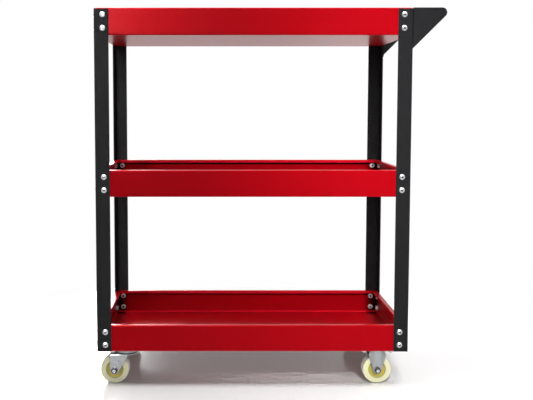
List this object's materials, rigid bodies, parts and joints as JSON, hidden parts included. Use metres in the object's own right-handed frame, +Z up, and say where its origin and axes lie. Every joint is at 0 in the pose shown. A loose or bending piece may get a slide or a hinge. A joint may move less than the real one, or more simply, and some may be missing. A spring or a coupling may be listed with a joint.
{
  "type": "tool trolley",
  "caption": "Open steel tool trolley with stacked red trays on black angle legs, a tube push handle, two swivel casters and two rigid casters.",
  "frame": {"origin": "on the floor under the middle of the overall box", "axes": "+X along the length towards the push handle, -Y towards the viewer of the long open front, +Z up"},
  "size_m": [0.7682, 0.3664, 0.84],
  "materials": {
    "black_powder_coat": "fine textured matt powder coat",
    "red_gloss_paint": "high gloss candy red paint",
    "bright_zinc": "bright zinc plate",
    "black_zinc": "black chromated zinc",
    "pressed_zinc": "dull zinc plate on pressed sheet",
    "bearing_steel": "turned steel",
    "nylon_wheel": "satin moulded nylon"
  },
  "bodies": {
    "frame": {"front_left_leg": "black_powder_coat", "rear_left_leg": "black_powder_coat", "front_right_leg": "black_powder_coat", "rear_right_leg": "black_powder_coat", "bottom_tray": "red_gloss_paint", "middle_tray": "red_gloss_paint", "top_tray": "red_gloss_paint", "front_handle_bracket": "black_powder_coat", "rear_handle_bracket": "black_powder_coat", "handle_tube": "black_powder_coat", "bottom_tray_screws": "bright_zinc", "middle_tray_screws": "bright_zinc", "top_tray_screws": "bright_zinc", "bottom_tray_nuts": "bright_zinc", "middle_tray_nuts": "bright_zinc", "top_tray_nuts": "bright_zinc", "caster_studs": "bearing_steel", "caster_nuts": "bright_zinc", "front_left_swivel_plate": "pressed_zinc", "front_left_kingpin": "pressed_zinc", "rear_left_swivel_plate": "pressed_zinc", "rear_left_kingpin": "pressed_zinc", "front_right_bracket": "pressed_zinc", "front_right_axle_bolt": "bright_zinc", "front_right_axle_nut": "black_zinc", "front_right_sleeve": "bearing_steel", "rear_right_bracket": "pressed_zinc", "rear_right_axle_bolt": "bright_zinc", "rear_right_axle_nut": "black_zinc", "rear_right_sleeve": "bearing_steel"},
    "front_left_swivel": {"front_left_fork": "pressed_zinc", "front_left_bearing_balls": "bearing_steel", "front_left_axle_bolt": "bright_zinc", "front_left_axle_nut": "black_zinc", "front_left_sleeve": "bearing_steel"},
    "rear_left_swivel": {"rear_left_fork": "pressed_zinc", "rear_left_bearing_balls": "bearing_steel", "rear_left_axle_bolt": "bright_zinc", "rear_left_axle_nut": "black_zinc", "rear_left_sleeve": "bearing_steel"},
    "front_left_roller": {"front_left_wheel": "nylon_wheel"},
    "rear_left_roller": {"rear_left_wheel": "nylon_wheel"},
    "front_right_roller": {"front_right_wheel": "nylon_wheel"},
    "rear_right_roller": {"rear_right_wheel": "nylon_wheel"}
  },
  "joints": [
    {"name": "front_left_swivel_turn", "type": "hinge", "parent": "frame", "child": "front_left_swivel", "pos_m": [-0.3188, -0.136, 0.07], "axis": [0, 0, 1], "continuous": true},
    {"name": "rear_left_swivel_turn", "type": "hinge", "parent": "frame", "child": "rear_left_swivel", "pos_m": [-0.3188, 0.136, 0.07], "axis": [0, 0, 1], "continuous": true},
    {"name": "front_left_wheel_roll", "type": "hinge", "parent": "front_left_swivel", "child": "front_left_roller", "pos_m": [-0.3458, -0.136, 0.03175], "axis": [0, 1, 0], "continuous": true},
    {"name": "rear_left_wheel_roll", "type": "hinge", "parent": "rear_left_swivel", "child": "rear_left_roller", "pos_m": [-0.3458, 0.136, 0.03175], "axis": [0, 1, 0], "continuous": true},
    {"name": "front_right_wheel_roll", "type": "hinge", "parent": "frame", "child": "front_right_roller", "pos_m": [0.2492, -0.136, 0.03175], "axis": [0, 1, 0], "continuous": true},
    {"name": "rear_right_wheel_roll", "type": "hinge", "parent": "frame", "child": "rear_right_roller", "pos_m": [0.2492, 0.136, 0.03175], "axis": [0, 1, 0], "continuous": true}
  ]
}
